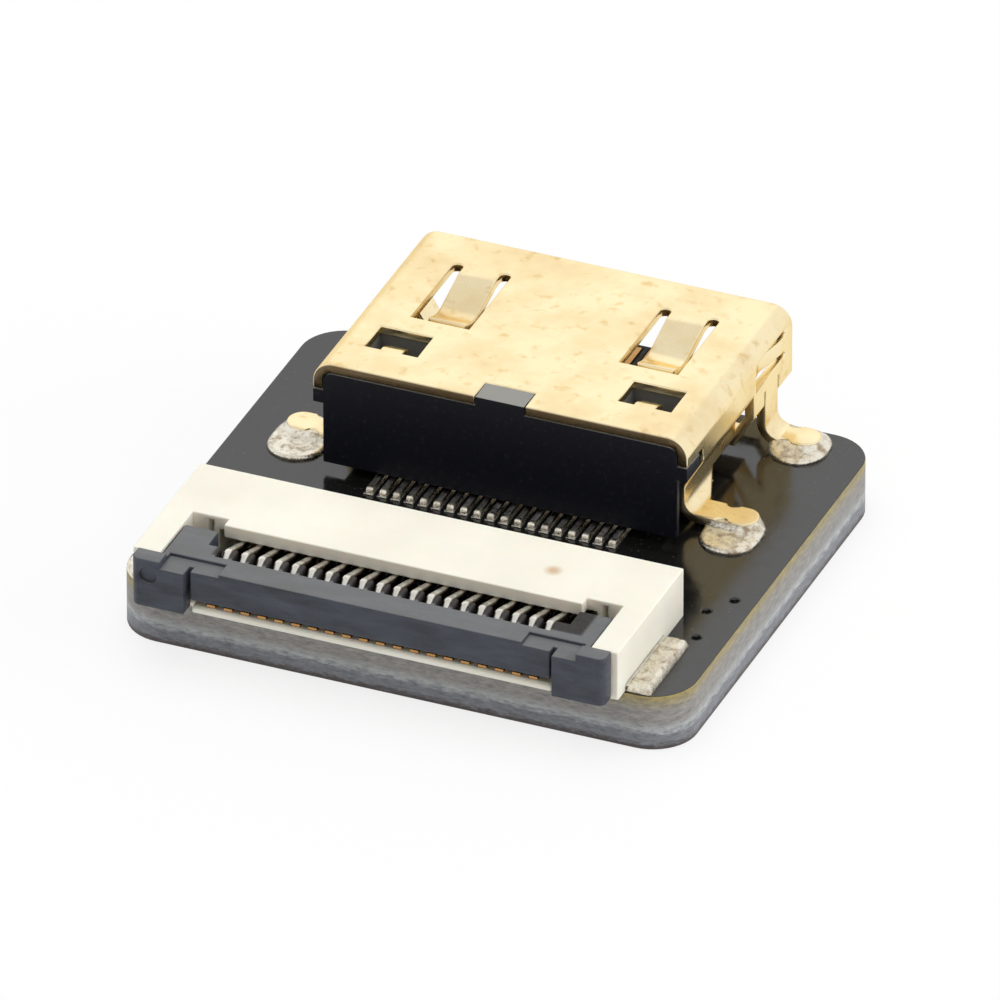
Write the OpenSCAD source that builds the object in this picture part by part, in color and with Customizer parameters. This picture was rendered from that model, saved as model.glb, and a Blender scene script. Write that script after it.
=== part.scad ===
// Adapter board with a mini video socket and a ribbon-cable connector.
// X runs along the board's width, Y towards the socket's mouth, Z up.
// The origin is the middle of the board's underside. Sizes are in millimetres.

/* [Board] */
// Width of the board, along X
board_w = 16.75; // [16.2:0.1:24]
// Depth of the board, along Y
board_d = 14.6; // [13.4:0.1:24]
// Thickness of the board
board_t = 1.7; // [0.8:0.1:2.4]
// Radius of the board's corners
board_corner_r = 1.3; // [0.2:0.1:2.5]
// Diameter of the plated holes beside the ribbon connector
via_d = 0.3; // [0.2:0.05:0.4]
// Height of the tinned pads above the board
pad_t = 0.04; // [0.02:0.01:0.08]

/* [Socket shell] */
// Outer width of the shell
shell_w = 11.1; // [10.6:0.1:12]
// Length of the shell from its rear edge to its mouth
shell_len = 7.7; // [7.4:0.1:8.4]
// Outer height of the shell from its bottom plate to its top plate
shell_h = 3.03; // [2.9:0.01:3.6]
// Thickness of the sheet that the shell is folded from
sheet_t = 0.28; // [0.2:0.02:0.34]
// Gap between the shell's bottom plate and the board
shell_gap = 0.42; // [0.36:0.02:0.6]
// How far the mouth stands out past the board's rear edge
mouth_overhang = 0.55; // [0.1:0.05:1]
// Outer radius of the folds along the top edges
top_fold_r = 0.6; // [0.45:0.05:0.8]
// How far the lower corners are drawn in
corner_in = 0.55; // [0.3:0.05:0.8]
// Height of the slanted stretch of the lower corners
corner_h = 0.9; // [0.7:0.05:1.1]
// Height of the upright stretch below the slanted one
low_wall_h = 0.1; // [0.06:0.02:0.3]
// Length of the rear stretch where the side walls are cut short
rear_open_len = 1.2; // [1:0.05:1.5]
// Height of the side walls that is left in that stretch
rear_flange_h = 0.85; // [0.7:0.05:1]
// Width of the notch in the top plate's rear edge
notch_w = 1.5; // [1:0.05:2]
// Depth of that notch
notch_d = 0.8; // [0.5:0.05:1]

/* [Shell windows and springs] */
// Distance of the latch windows from the socket's middle
latch_x = 3.76; // [3.4:0.01:4]
// Width of a latch window
latch_w = 1.55; // [1.2:0.05:1.7]
// Length of a latch window, along the socket
latch_len = 1.15; // [0.8:0.05:1.2]
// Distance of the latch windows from the shell's rear edge
latch_y = 1.3; // [1.1:0.05:1.4]
// Width of the small tab in a latch window
latch_tab_w = 0.65; // [0.4:0.05:0.8]
// Length of that tab
latch_tab_len = 0.6; // [0.4:0.05:0.7]
// How far that tab is bent down
latch_tab_dip = 0.22; // [0.1:0.02:0.3]
// Distance of the top spring fingers from the socket's middle
finger_x = 3.1; // [2.8:0.05:3.4]
// Width of a top spring finger
finger_w = 1.12; // [0.8:0.02:1.3]
// Length of a top spring finger
finger_len = 2.6; // [2.2:0.05:2.8]
// How far a top finger dips into the mouth
finger_dip = 0.46; // [0.3:0.02:0.55]
// Distance of the top fingers' roots from the mouth
finger_root = 1.4; // [1.2:0.05:1.6]
// Width of the slots beside the fingers
finger_slot = 0.3; // [0.2:0.02:0.36]
// Gap between a top finger's tip and the end of its opening
finger_gap = 0.5; // [0.2:0.05:0.6]
// Width of a side spring finger
side_finger_w = 0.45; // [0.3:0.05:0.5]
// Length of a side spring finger
side_finger_len = 1.9; // [1.5:0.05:2.1]
// How far a side finger dips into the mouth
side_finger_dip = 0.22; // [0.1:0.02:0.3]
// Distance of the side fingers' roots from the mouth
side_finger_root = 0.57; // [0.5:0.01:0.9]
// Width of the slots beside the side fingers
side_slot = 0.18; // [0.12:0.02:0.24]
// Height of the side fingers' middles below the top plate
side_finger_drop = 0.86; // [0.8:0.02:1.1]

/* [Shell feet] */
// Width of a leg and its foot
leg_w = 0.92; // [0.7:0.02:1.1]
// How far a foot reaches out from its leg
foot_out = 2; // [1.6:0.05:2.2]
// Inner radius of the legs' bends
leg_bend_r = 0.12; // [0.08:0.02:0.2]
// Distance of the front legs from the mouth
front_leg_back = 1.05; // [0.8:0.05:1.3]
// Height of the front legs' roots above the shell's slanted corners
front_leg_rise = 0.2; // [0.1:0.02:0.22]
// Height of the rear legs' bend above the shell's slanted corners
rear_leg_rise = 0.7; // [0.5:0.01:0.8]
// Width of the slits beside the legs
leg_slit = 0.06; // [0.04:0.01:0.12]
// Length of the bottom plate's openings that the legs are bent out of
leg_blank = 1.5; // [1:0.1:2]
// Length of the side walls' drawn-in panels, with the rear legs
panel_len = 3.65; // [3:0.05:3.8]
// Height of the panels' lower edges above the bottom plate
panel_rise = 0.3; // [0.1:0.05:0.4]
// Length of the gusset between a rear leg and its panel
gusset_len = 1.1; // [0.6:0.05:1.4]
// Depth of the waist in each foot
waist_depth = 0.14; // [0.05:0.01:0.2]
// Radius of the waist in each foot
waist_r = 0.22; // [0.18:0.02:0.3]
// Height of the feet above the board, which solder fills
foot_lift = 0.1; // [0.06:0.01:0.14]
// Width of a foot's solder joint
solder_w = 1.5; // [1.3:0.05:1.6]
// How far the solder of the rear feet runs out behind them
rear_run = 1.12; // [0.8:0.02:1.2]
// How far the solder of the rear feet runs out ahead of them
rear_ahead = 0.12; // [0.06:0.02:0.2]
// How far the solder of the front feet runs out behind them
front_run = 0.58; // [0.4:0.02:0.7]
// How far the solder of the front feet runs out ahead of them
front_ahead = 0.45; // [0.3:0.02:0.5]
// Height of a solder joint
solder_h = 0.3; // [0.2:0.01:0.34]

/* [Socket insulator and contacts] */
// Number of the socket's contacts
socket_ways = 19; // [5:2:19]
// Spacing of the socket's contacts
socket_pitch = 0.4; // [0.36:0.01:0.42]
// Width of a socket contact
socket_contact_w = 0.2; // [0.14:0.01:0.22]
// Thickness of a socket contact
socket_contact_t = 0.14; // [0.1:0.01:0.16]
// How far the tails reach out behind the shell's rear edge
socket_tail_out = 0.58; // [0.4:0.02:0.7]
// Length of the insulator's block from its rear face
block_len = 2.9; // [2.6:0.05:3]
// Gap between the block and the board
block_gap = 0.28; // [0.24:0.01:0.32]
// Thickness of the wall behind the contacts
block_wall = 0.5; // [0.35:0.05:0.6]
// Thickness of the block's full-width rear wall, below the lugs
skirt_t = 0.2; // [0.15:0.05:0.4]
// Height of the lugs at the block's sides
lug_h = 0.42; // [0.3:0.02:0.5]
// Length of the lugs at the block's sides
lug_len = 0.9; // [0.6:0.05:1]
// Depth of the pockets under the latch windows
pocket_d = 0.55; // [0.5:0.05:0.7]
// Width of the tongue
tongue_w = 8.4; // [8.1:0.1:8.8]
// Thickness of the tongue
tongue_t = 0.65; // [0.5:0.05:0.8]
// Height of the tongue above the bottom plate's inner face
tongue_rise = 0.7; // [0.5:0.05:0.9]
// Distance of the tongue's tip from the mouth
tongue_back = 1.2; // [0.9:0.05:1.6]
// Bevel at the tongue's tip
tongue_bevel = 0.15; // [0.05:0.01:0.2]

/* [Ribbon connector] */
// Number of the ribbon contacts
ribbon_ways = 20; // [10:1:20]
// Spacing of the ribbon contacts
ribbon_pitch = 0.5; // [0.46:0.01:0.52]
// Place of the connector's middle along X
ribbon_x = -0.4; // [-0.6:0.05:0.6]
// Width of the housing
housing_w = 14.3; // [14.1:0.1:14.8]
// Height of the housing
housing_h = 1.5; // [1.44:0.02:1.8]
// Distance of the housing's rear face from the board's front edge
housing_back = 4.3; // [4.2:0.05:4.6]
// How far the housing's floor stands out past the board's front edge
lip_overhang = 0.7; // [0.5:0.05:0.9]
// Length of the top plate, from the rear face
roof_len = 2.75; // [2.5:0.05:2.9]
// Thickness of the top plate
roof_t = 0.4; // [0.3:0.02:0.46]
// Thickness of the floor
floor_t = 0.2; // [0.14:0.02:0.22]
// Width of a side arm
arm_w = 0.8; // [0.7:0.05:0.9]
// Length of the side arms, from the rear face
arm_len = 4.72; // [4.6:0.02:4.8]
// Length of the housing behind the notches
notch_back = 2.4; // [2.2:0.05:2.5]
// How far the room under the top plate reaches past the contacts
side_room = 0.32; // [0.2:0.02:0.36]
// Width of the slit in each notch's rear wall
nick_w = 0.16; // [0.1:0.02:0.24]
// Depth of that slit, from the notch towards the rear
nick_len = 0.4; // [0.2:0.05:0.6]
// Distance of that slit from the housing's top
nick_drop = 0.15; // [0.1:0.01:0.3]
// Bevel along the floor's front edge
lip_bevel = 0.08; // [0.04:0.01:0.12]
// Length of the solid back of the housing
back_len = 1.05; // [0.9:0.05:1.2]

/* [Ribbon slider] */
// Travel of the slider between locked and open
slide_travel = 1; // [0.6:0.05:1.1]
// Height of the slider's front bar above the board's top
bar_top = 1.43; // [1.36:0.01:1.5]
// Height of the bar's underside above the board's top
bar_bottom = 0.44; // [0.43:0.01:0.5]
// Depth of the bar
bar_len = 1.38; // [1.2:0.02:1.5]
// Width of an ear
ear_w = 1.55; // [1.4:0.05:1.6]
// Height of the ears above the board's top
ear_top = 1.55; // [1.45:0.01:1.65]
// Radius of the ears' outer front edges
ear_r = 0.22; // [0.1:0.02:0.3]
// Width of the groove between an ear and the bar
groove_w = 0.12; // [0.06:0.02:0.2]
// Depth of that groove behind the bar's front face
groove_d = 0.28; // [0.1:0.02:0.4]
// Distance of the ears' outer faces from the housing's sides
ear_inset = 0.18; // [0.1:0.01:0.24]
// How far the bar stands out in front of the floor's front edge
bar_proud = 0.1; // [0.04:0.02:0.2]
// How far the ears stand out in front of the bar
ear_proud = 0.2; // [0.1:0.02:0.3]
// Length of the slider's arms behind the ears
slider_arm_len = 1.75; // [1.6:0.05:1.9]
// How far the catches stand out of the slider's arms
catch_out = 0.12; // [0.06:0.01:0.16]
// Length of a catch
catch_len = 0.3; // [0.2:0.02:0.4]
// Length of the tongue behind the bar
wedge_len = 1.4; // [1.1:0.05:1.6]
// Thickness of the slider's tongue at the bar
wedge_t = 0.24; // [0.2:0.01:0.26]
// How much thinner the tongue is at its tip
wedge_taper = 0.1; // [0.04:0.01:0.14]
// Length of the shallow recesses in the bar's top
recess_len = 1.65; // [1:0.05:2]
// Distance of those recesses from the ears
recess_in = 0.7; // [0.5:0.05:1]
// Depth of the recesses, from front to back
recess_d = 0.6; // [0.4:0.05:0.7]
// Depth of the recesses, downwards
recess_t = 0.1; // [0.05:0.01:0.15]
// Diameter of the round mould mark on the left ear
mark_d = 0.5; // [0.3:0.05:0.6]
// Depth of the comb slots that take the contacts' tips
comb_len = 0.5; // [0.4:0.02:0.6]

/* [Ribbon contacts and anchors] */
// Thickness of a ribbon contact
ribbon_contact_w = 0.28; // [0.2:0.01:0.3]
// Height of the contacts' upper arms
upper_arm_h = 0.2; // [0.14:0.01:0.22]
// Height of the contacts' lower arms
lower_arm_h = 0.13; // [0.1:0.01:0.15]
// Depth of the upper arms' humps below the top of the slider's bar
hump_drop = 0.04; // [0.02:0.01:0.1]
// Height of the bump near the lower arms' tips
bump_h = 0.04; // [0.02:0.005:0.05]
// Length of that bump
bump_len = 0.5; // [0.3:0.05:0.8]
// How far the tails reach out behind the housing
ribbon_tail_out = 0.55; // [0.4:0.05:0.65]
// Height of the tails
ribbon_tail_h = 0.15; // [0.1:0.01:0.18]
// Distance of the lower arms' tips from the floor's front edge
lower_tip_back = 0.05; // [0.03:0.01:0.2]
// How far an anchor's foot reaches out from the housing
anchor_out = 0.68; // [0.5:0.02:0.7]
// Length of an anchor
anchor_len = 2.7; // [2.2:0.1:2.8]
// Thickness of an anchor's sheet
anchor_t = 0.15; // [0.1:0.01:0.18]
// Height of the anchor's upright tab inside the housing
anchor_h = 0.95; // [0.7:0.05:1]
// Distance of an anchor's front end from the arm's front end
anchor_back = 0.55; // [0.5:0.05:0.8]
// Distance of the anchor's upright tab from the housing's side
anchor_in = 0.18; // [0.14:0.01:0.2]
// Room for the left anchor's foot and its solder beside the housing
anchor_side = 0.825; // [0.8:0.005:0.9]

/* [Hidden] */
$fn = 48;
// Clearance round pieces that are pressed or moulded in
fit = 0.02;
// Clearance round the slider
run = 0.04;
// Overshoot of the cutters
cut = 0.2;
// Overlap that joins two shapes of one piece
lap = 0.05;
// Facets of a bend
bend_n = 5;
// Margin of a pad round its tail
pad_edge = 0.04;
// Length of a pad past its tail's tip
pad_toe = 0.16;
// Height of the contacts above the tongue's top face
contact_proud = 0.03;
// Gap between the slider's tongue and the lower arms
wedge_gap = 0.06;
// Inner radius of a socket contact's bends
contact_bend = 0.1;
// Width of the solder outside a foot's tip
solder_edge = 0.08;

board_top = board_t;
pad_top = board_top + pad_t;
board_front = -board_d / 2;

shell_mouth = board_d / 2 + mouth_overhang;
shell_rear = shell_mouth - shell_len;
shell_low = board_top + shell_gap;
shell_top = shell_low + shell_h;
shell_full = shell_rear + rear_open_len;
slant_top = shell_low + low_wall_h + corner_h;
leg_x = shell_w / 2 - corner_in;
foot_low = board_top + foot_lift;
foot_top = foot_low + sheet_t;
foot_tip = leg_x + foot_out;
leg_r = sheet_t + leg_bend_r;
leg_root = leg_r / 2;
front_leg_y = shell_mouth - front_leg_back - leg_w;
front_bend = slant_top + front_leg_rise;
rear_bend = slant_top + rear_leg_rise;
panel_end = shell_full + panel_len;
block_fit = sheet_t + fit;
block_end = shell_rear + block_len;
contact_y = shell_rear + block_wall + fit;
tongue_low = shell_low + sheet_t + tongue_rise;
tongue_top = tongue_low + tongue_t;
tongue_tip = shell_mouth - tongue_back;
contact_top = tongue_top + contact_proud;
contact_r = socket_contact_t + contact_bend;
contact_end = tongue_tip - 2 * tongue_bevel;
tail_tip = shell_rear - socket_tail_out;

housing_rear = board_front + housing_back;
housing_top = board_top + housing_h;
lip_front = board_front - lip_overhang;
roof_front = housing_rear - roof_len;
roof_low = housing_top - roof_t;
arm_front = housing_rear - arm_len;
notch_rear = housing_rear - notch_back;
cavity_rear = housing_rear - back_len;
floor_top = board_top + floor_t;
slot_w = (ribbon_ways + 1) * ribbon_pitch;
arm_in = housing_w / 2 - arm_w;
ear_in = housing_w / 2 - ear_inset - ear_w;
wall_in = slot_w / 2 + run;
bar_front = lip_front - bar_proud;
bar_rear = bar_front + bar_len;
ear_front = bar_front - ear_proud;
ear_rear = arm_front - run;
slider_arm_end = ear_rear + slider_arm_len;
comb_end = bar_rear - comb_len;
upper_top = roof_low - fit;
upper_low = upper_top - upper_arm_h;
lower_low = floor_top + fit;
lower_top = lower_low + lower_arm_h;
wedge_low = lower_top + wedge_gap;
lower_tip = lip_front + lower_tip_back;

function two_digits(i) = str(i < 10 ? "0" : "", i);
function socket_name(i) = str("socket_contact_", two_digits(i));
function ribbon_name(i) = str("ribbon_contact_", two_digits(i));
function place(i, ways, pitch) = (i - (ways + 1) / 2) * pitch;

FEET = ["rear_left", "rear_right", "front_left", "front_right"];
function solder_name(f) = str("foot_solder_", f);

// Unit vector along v
function unit(v) = v / norm(v);

// Points of the arc of radius r that rounds the corner b between a and c
function corner_arc(a, b, c, r) =
    let (
        u = unit(a - b),
        w = unit(c - b),
        half = acos(u * w) / 2,
        middle = b + unit(u + w) * r / sin(half),
        from = b + u * r / tan(half) - middle,
        start = atan2(from.y, from.x),
        turn = (90 - half) * (u.x * w.y < u.y * w.x ? 2 : -2)
    )
    [for (i = [0:bend_n]) middle + r * [cos(start + turn * i / bend_n), sin(start + turn * i / bend_n)]];

// A path with its inner corners rounded by the radii r
function rounded(p, r) = [
    p[0],
    for (i = [1:len(p) - 2]) each corner_arc(p[i - 1], p[i], p[i + 1], r[i - 1]),
    p[len(p) - 1]
];

// Left-hand normal of the stretch from a to b
function left(a, b) = let (d = unit(b - a)) [-d.y, d.x];

// The point i of path p moved t to the left of the path, with mitred corners
function shifted(p, i, t) =
    let (
        last = len(p) - 1,
        before = i > 0 ? left(p[i - 1], p[i]) : left(p[0], p[1]),
        after = i < last ? left(p[i], p[i + 1]) : before
    )
    p[i] + t * (before + after) / (1 + before * after);

// Outline of a strip of thickness t whose one face follows the path p
function strip(p, t) = concat(p, [for (i = [len(p) - 1:-1:0]) shifted(p, i, t)]);

// Carries an X-Z outline along Y
module along_y(from, to) {
    translate([0, to, 0]) rotate([90, 0, 0]) linear_extrude(to - from) children();
}

// Carries a Y-Z outline along X, about x
module across_x(x, width) {
    translate([x - width / 2, 0, 0]) rotate([90, 0, 90]) linear_extrude(width) children();
}

// A box between two corners
module box(a, b) {
    translate(a) cube(b - a);
}

module both_sides() {
    children();
    mirror([1, 0, 0]) children();
}

// Board

module board_outline() {
    long = [board_w, board_d - 2 * board_corner_r];
    wide = [board_w - 2 * board_corner_r, board_d];
    square(long, center = true);
    square(wide, center = true);
    for (x = [-1, 1], y = [-1, 1]) {
        translate([x * wide.x / 2, y * long.y / 2]) circle(board_corner_r);
    }
}

// Each plated hole's distance from the board's right edge and from its front edge
vias = [[1.13, 4.72], [0.88, 3.37], [0.63, 5.52]];

module board() {
    color("#26272b") difference() {
        linear_extrude(board_t) board_outline();
        for (v = vias) {
            translate([board_w / 2 - v.x, board_front + v.y, -cut]) cylinder(d = via_d, h = board_t + 2 * cut);
        }
    }
}

// Socket shell

// Outline across the shell, moved in by inset
module shell_section(inset) {
    side = shell_w / 2 - inset;
    fold_x = shell_w / 2 - top_fold_r;
    fold_z = shell_h - top_fold_r;
    low = side - corner_in;
    slant_z = low_wall_h + corner_h;
    translate([0, shell_low]) intersection() {
        union() {
            polygon([
                [side, slant_z], [side, fold_z], [fold_x, shell_h - inset],
                [-fold_x, shell_h - inset], [-side, fold_z], [-side, slant_z],
                [-low, low_wall_h], [-low, 0], [low, 0], [low, low_wall_h]
            ]);
            for (x = [-fold_x, fold_x]) {
                translate([x, fold_z]) circle(top_fold_r - inset);
            }
        }
        translate([-shell_w, inset]) square([2 * shell_w, shell_h - 2 * inset]);
    }
}

// A spring finger that runs towards -Y from the origin, its upper face at z = 0
module finger(width, length, dip, slot) {
    tip = length / 4;
    flat = length / 10;
    path = [[lap - slot / 2, 0], [-slot / 2 - flat, 0], [tip - length, -dip], [-length, -dip / 2]];
    across_x(0, width) polygon(strip(rounded(path, [length / 3, length / 3]), sheet_t));
}

// The U-shaped opening round such a finger
module finger_opening(width, length, slot, gap) {
    half = width / 2 + slot;
    box([-half, -length - gap, -sheet_t - cut], [half, -slot / 2, cut]);
    for (x = [-1, 1]) {
        translate([x * (width + slot) / 2, -slot / 2, -sheet_t - cut])
            cylinder(d = slot, h = sheet_t + 2 * cut);
    }
}

module at_top_finger() {
    translate([finger_x, shell_mouth - finger_root, shell_top]) children();
}

module at_side_finger() {
    translate([shell_w / 2, shell_mouth - side_finger_root, shell_top - side_finger_drop])
        rotate([0, 90, 0]) children();
}

module latch_window() {
    near = shell_rear + latch_y;
    box([latch_x - latch_w / 2, near, shell_top - sheet_t - cut],
        [latch_x + latch_w / 2, near + latch_len, shell_top + cut]);
}

// Tab that is bent down from a latch window's rear edge
module latch_tab() {
    path = [[-lap, 0], [latch_tab_len / 4, 0], [latch_tab_len, -latch_tab_dip]];
    translate([0, shell_rear + latch_y, shell_top]) across_x(latch_x, latch_tab_w)
        polygon(strip(rounded(path, [leg_r]), -sheet_t));
}

// Plan of a foot whose leg starts at y = 0, with a gusset beside the leg
module foot_plan(gusset) {
    round_x = foot_tip - leg_w / 2;
    difference() {
        union() {
            translate([leg_x - corner_in - 2 * sheet_t, 0])
                square([round_x - leg_x + corner_in + 2 * sheet_t, leg_w]);
            translate([round_x, leg_w / 2]) circle(leg_w / 2);
            polygon([
                [leg_x - leg_r, leg_w - lap], [leg_x - leg_r, leg_w + gusset], [leg_x, leg_w + gusset],
                [leg_x + leg_r, leg_w], [leg_x + leg_r, leg_w - lap]
            ]);
        }
        for (y = [waist_depth - waist_r, leg_w - waist_depth + waist_r]) {
            translate([round_x - leg_w / 4 - waist_r, y]) circle(waist_r);
        }
    }
}

// Outer face of a rear leg or a panel: down the side wall, drawn in, and down again to z
function drawn_in(z) = [
    [shell_w / 2, rear_bend + leg_root + lap], [shell_w / 2, rear_bend],
    [leg_x, rear_bend - corner_h], [leg_x, z]
];

// A leg that starts at y, whose outer face follows the path
module leg(y, path, radii, gusset) {
    intersection() {
        along_y(y, y + leg_w + gusset) polygon(strip(rounded(path, radii), -sheet_t));
        union() {
            translate([0, y, foot_low - cut]) linear_extrude(cut + sheet_t + leg_r) foot_plan(gusset);
            box([0, y, foot_top + lap], [shell_w / 2, y + leg_w, shell_top]);
        }
    }
}

module legs() {
    room = rear_bend - corner_h - foot_top;
    bend_r = min(leg_r, room / 2);
    root = [shell_w / 2, front_bend + leg_root + lap];
    leg(shell_full, concat(drawn_in(foot_top), [[foot_tip, foot_top]]), [leg_r, bend_r, bend_r], gusset_len);
    leg(front_leg_y, [root, [shell_w / 2, foot_top], [foot_tip, foot_top]], [leg_r], 0);
    along_y(shell_full + leg_w - lap, panel_end + lap)
        polygon(strip(rounded(drawn_in(shell_low + panel_rise), [leg_r, bend_r]), -sheet_t));
}

// Room that the legs and the panel leave in the side wall and the bottom plate
module leg_room() {
    inner = leg_x - leg_blank;
    outer = shell_w / 2 + cut;
    near = front_leg_y - leg_slit;
    far = front_leg_y + leg_w + leg_slit;
    box([inner, shell_full - leg_slit, shell_low - cut], [outer, panel_end, rear_bend + leg_root]);
    box([inner, near, shell_low - cut], [outer, far, front_bend + leg_root]);
}

module socket_shell() {
    color("#e8c462") {
        difference() {
            along_y(shell_rear, shell_mouth) shell_section(0);
            along_y(shell_rear - cut, shell_mouth + cut) shell_section(sheet_t);
            box([-shell_w, shell_rear - cut, shell_low - cut],
                [shell_w, shell_full, shell_top - rear_flange_h]);
            box([-notch_w / 2, shell_rear - cut, shell_top - sheet_t - cut],
                [notch_w / 2, shell_rear + notch_d, shell_top + cut]);
            both_sides() {
                latch_window();
                at_top_finger() finger_opening(finger_w, finger_len, finger_slot, finger_gap);
                at_side_finger() finger_opening(side_finger_w, side_finger_len, side_slot, side_slot);
                leg_room();
            }
        }
        both_sides() {
            at_top_finger() finger(finger_w, finger_len, finger_dip, finger_slot);
            at_side_finger() finger(side_finger_w, side_finger_len, side_finger_dip, side_slot);
            latch_tab();
            legs();
        }
    }
}

// Solder of the shell's feet

// The joint of the foot whose leg starts at y, on the right side
module foot_joint(y, behind, ahead) {
    length = behind + leg_w + ahead;
    straight = length - solder_w;
    reach = length / 2 + pad_edge;
    dome_r = (reach * reach + solder_h * solder_h) / (2 * solder_h);
    difference() {
        translate([foot_tip + solder_edge - solder_w / 2, y - behind + length / 2, board_top]) intersection() {
            linear_extrude(solder_h) {
                square([solder_w, straight], center = true);
                for (side = [-1, 1]) translate([0, side * straight / 2]) circle(d = solder_w);
            }
            translate([0, 0, solder_h - dome_r]) sphere(dome_r);
        }
        translate([0, y, foot_low]) linear_extrude(solder_h) foot_plan(0);
    }
}

module foot_solder(f) {
    rear = f == FEET[0] || f == FEET[1];
    turned = f == FEET[0] || f == FEET[2] ? 1 : 0;
    color("#c9cbc8") mirror([turned, 0, 0]) {
        if (rear) foot_joint(shell_full, rear_run, rear_ahead);
        if (!rear) foot_joint(front_leg_y, front_run, front_ahead);
    }
}

// Socket insulator

module tongue_profile() {
    polygon([
        [block_end - lap, tongue_low], [tongue_tip - tongue_bevel, tongue_low],
        [tongue_tip, tongue_low + tongue_bevel], [tongue_tip, tongue_top - tongue_bevel],
        [tongue_tip - tongue_bevel, tongue_top], [block_end - lap, tongue_top]
    ]);
}

// Groove, tunnel and shaft of one contact
module contact_channel(x) {
    half = socket_contact_w / 2 + fit;
    low = contact_top - socket_contact_t - fit;
    box([x - half, contact_y - fit, low], [x + half, contact_end + fit, contact_top + fit]);
    box([x - half, contact_y - fit, shell_low - shell_gap],
        [x + half, contact_y + contact_r + socket_contact_t, contact_top + fit]);
}

module socket_insulator() {
    side = shell_w / 2 - block_fit;
    rear_end = shell_full - fit;
    lug_top = shell_top - rear_flange_h - fit;
    leg_in = leg_x - sheet_t - fit;
    pocket_y = shell_rear + latch_y;
    color("#141518") difference() {
        union() {
            along_y(shell_rear, block_end) shell_section(block_fit);
            box([-side, shell_rear, board_top + block_gap], [side, rear_end, shell_top - top_fold_r]);
            box([-shell_w / 2, shell_rear, lug_top - lug_h],
                [shell_w / 2, shell_rear + lug_len, lug_top]);
            box([fit - notch_w / 2, shell_rear, shell_top - sheet_t - lap],
                [notch_w / 2 - fit, shell_rear + notch_d - fit, shell_top - fit]);
            across_x(0, tongue_w) tongue_profile();
        }
        for (i = [1:socket_ways]) contact_channel(place(i, socket_ways, socket_pitch));
        both_sides() {
            box([leg_in, shell_rear + skirt_t, shell_low - cut], [shell_w / 2, rear_end + lap, lug_top - lug_h]);
            box([leg_in, rear_end, shell_low - cut],
                [shell_w / 2, block_end + cut, rear_bend + leg_root + fit]);
            box([latch_x - latch_w / 2 - lap, pocket_y - lap, shell_top - sheet_t - pocket_d],
                [latch_x + latch_w / 2 + lap, pocket_y + latch_len + lap, shell_top]);
        }
    }
}

// Socket contacts and pads

module socket_contact(i) {
    path = [
        [contact_end, contact_top], [contact_y, contact_top],
        [contact_y, pad_top + socket_contact_t], [tail_tip, pad_top + socket_contact_t]
    ];
    color("#d9c27a") across_x(place(i, socket_ways, socket_pitch), socket_contact_w)
        polygon(strip(rounded(path, [contact_r, contact_r]), socket_contact_t));
}

module socket_pads() {
    half = socket_contact_w / 2 + pad_edge;
    color("#cfd1cd") for (i = [1:socket_ways]) {
        x = place(i, socket_ways, socket_pitch);
        box([x - half, tail_tip - pad_toe, board_top], [x + half, shell_rear + block_wall, pad_top]);
    }
}

// Ribbon connector

module at_ribbon() {
    translate([ribbon_x, 0, 0]) children();
}

// L-shaped room of one anchor on the right side, moved out by gap
module anchor_room(gap) {
    inner = housing_w / 2 - anchor_in - anchor_t;
    outer = housing_w / 2 + anchor_out;
    from = arm_front + anchor_back - gap;
    to = arm_front + anchor_back + anchor_len + gap;
    box([inner - gap, from, pad_top - gap], [inner + anchor_t + gap, to, board_top + anchor_h + gap]);
    box([inner - gap, from, pad_top - gap], [outer, to, pad_top + anchor_t + gap]);
}

module ribbon_anchor(side) {
    trim = board_w / 2 - housing_w / 2 - anchor_side + ribbon_x;
    color("#c6c4b8") intersection() {
        at_ribbon() mirror([side, 0, 0]) anchor_room(0);
        translate([side == 1 ? trim : -trim, 0, 0])
            linear_extrude(housing_top) offset(r = -anchor_t) board_outline();
    }
}

module anchor_solder() {
    from = arm_front + anchor_back - pad_edge;
    to = from + anchor_len + 2 * pad_edge;
    inner = housing_w / 2 + fit;
    outer = housing_w / 2 + anchor_out + pad_edge;
    color("#c9cbc8") intersection() {
        at_ribbon() both_sides() difference() {
            box([inner, from, board_top], [outer, to, pad_top + anchor_t / 2]);
            anchor_room(0);
        }
        linear_extrude(board_top + anchor_t) board_outline();
    }
}

// Groove in an arm's inner face that a catch of the slider runs in
module catch_groove() {
    front = slider_arm_end - catch_len - slide_travel - run;
    box([arm_in - lap, front, board_top + bar_bottom - run],
        [arm_in + catch_out, slider_arm_end + run, board_top + bar_top - recess_t]);
}

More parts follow.
